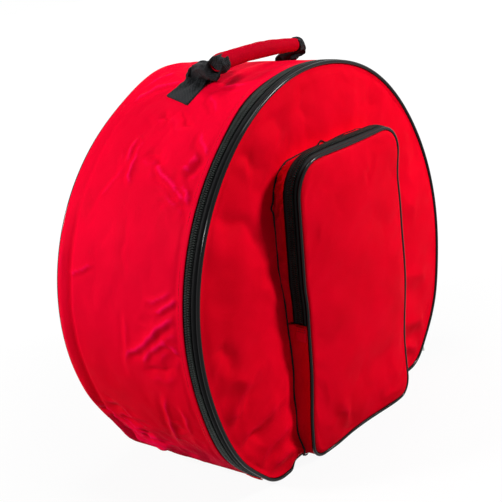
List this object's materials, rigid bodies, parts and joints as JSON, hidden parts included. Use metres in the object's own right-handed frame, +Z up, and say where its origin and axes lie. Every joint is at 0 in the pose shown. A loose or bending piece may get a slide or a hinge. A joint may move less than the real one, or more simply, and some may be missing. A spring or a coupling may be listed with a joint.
{
  "type": "padded drum bag",
  "caption": "Round padded soft bag with a flat base, a zipped hinged front lid, a tapering outside zip pocket and a webbing top handle with a padded grip.",
  "frame": {"origin": "middle of the flat base, on the surface it stands on", "axes": "+X to the bag's right as seen from the front, -Y towards the front lid, +Z up"},
  "size_m": [0.372, 0.1919, 0.3512],
  "materials": {
    "red_polyester": "coated plain-weave polyester, soft sheen",
    "foam_padding": "closed-cell foam sheet",
    "black_lining": "thin woven nylon, matt",
    "black_piping": "extruded vinyl piping, glossy",
    "edge_binding": "woven grosgrain tape",
    "zip_tape": "woven polyester zip tape",
    "nylon_coil": "nylon coil, semi-gloss",
    "black_webbing": "woven polypropylene webbing",
    "slider_metal": "plated zinc die casting"
  },
  "bodies": {
    "bag": {"wall_cover": "red_polyester", "wall_foam": "foam_padding", "wall_lining": "black_lining", "base_cover": "red_polyester", "base_foam": "foam_padding", "base_lining": "black_lining", "back_cover": "red_polyester", "back_foam": "foam_padding", "back_lining": "black_lining", "back_piping": "black_piping", "front_edge_binding": "edge_binding", "back_seam_binding": "edge_binding", "main_zip_rear_tape": "zip_tape", "main_zip_rear_coil": "nylon_coil", "main_zip_end_tabs": "red_polyester", "handle_sewn_ends": "black_webbing"},
    "lid": {"lid_cover": "red_polyester", "lid_foam": "foam_padding", "lid_lining": "black_lining", "lid_piping": "black_piping", "lid_edge_binding": "edge_binding", "main_zip_front_tape": "zip_tape", "main_zip_front_coil": "nylon_coil", "pocket_base_seam": "black_piping", "pocket_upper_gusset": "red_polyester", "pocket_lower_gusset": "red_polyester", "pocket_lower_panel": "red_polyester", "pocket_lower_piping": "black_piping", "pocket_zip_rear_tape": "zip_tape", "pocket_zip_rear_coil": "nylon_coil", "pocket_zip_end_tabs": "red_polyester"},
    "pocket_flap": {"pocket_flap_panel": "red_polyester", "pocket_flap_piping": "black_piping", "pocket_zip_front_tape": "zip_tape", "pocket_zip_front_coil": "nylon_coil"},
    "handle": {"handle_webbing": "black_webbing", "handle_foam": "foam_padding", "handle_grip_cover": "red_polyester"},
    "main_slider_body": {"main_slider": "slider_metal"},
    "main_pull": {"main_pull_tab": "slider_metal"},
    "pocket_slider_body": {"pocket_slider": "slider_metal"},
    "pocket_pull": {"pocket_pull_tab": "slider_metal"}
  },
  "joints": [
    {"name": "lid_hinge", "type": "hinge", "parent": "bag", "child": "lid", "pos_m": [0, -0.078, 0], "axis": [1, 0, 0], "range_deg": [0, 80]},
    {"name": "pocket_flap_fold", "type": "hinge", "parent": "lid", "child": "pocket_flap", "pos_m": [0, -0.10218, 0.12666], "axis": [1, 0, 0], "range_deg": [0, 140]},
    {"name": "main_slider_run", "type": "hinge", "parent": "bag", "child": "main_slider_body", "pos_m": [0, -0.07025, 0.14], "axis": [0, 1, 0], "range_deg": [-258.6, 0]},
    {"name": "main_pull_swing", "type": "hinge", "parent": "main_slider_body", "child": "main_pull", "pos_m": [0.14827, -0.07025, 0.01864], "axis": [0, 1, 0], "range_deg": [-130, 30]},
    {"name": "pocket_slider_run", "type": "slide", "parent": "lid", "child": "pocket_slider_body", "axis": [0, -0.0729, 0.9973], "range_m": [0, 0.088]},
    {"name": "pocket_pull_swing", "type": "hinge", "parent": "pocket_slider_body", "child": "pocket_pull", "pos_m": [0.0836, -0.09326, 0.13484], "axis": [0, -0.9973, -0.0729], "range_deg": [0, 165]},
    {"name": "handle_swing", "type": "hinge", "parent": "bag", "child": "handle", "pos_m": [0, 0.009, 0.31994], "axis": [-0.9981, 0, 0.0623], "range_deg": [0, 120]}
  ]
}
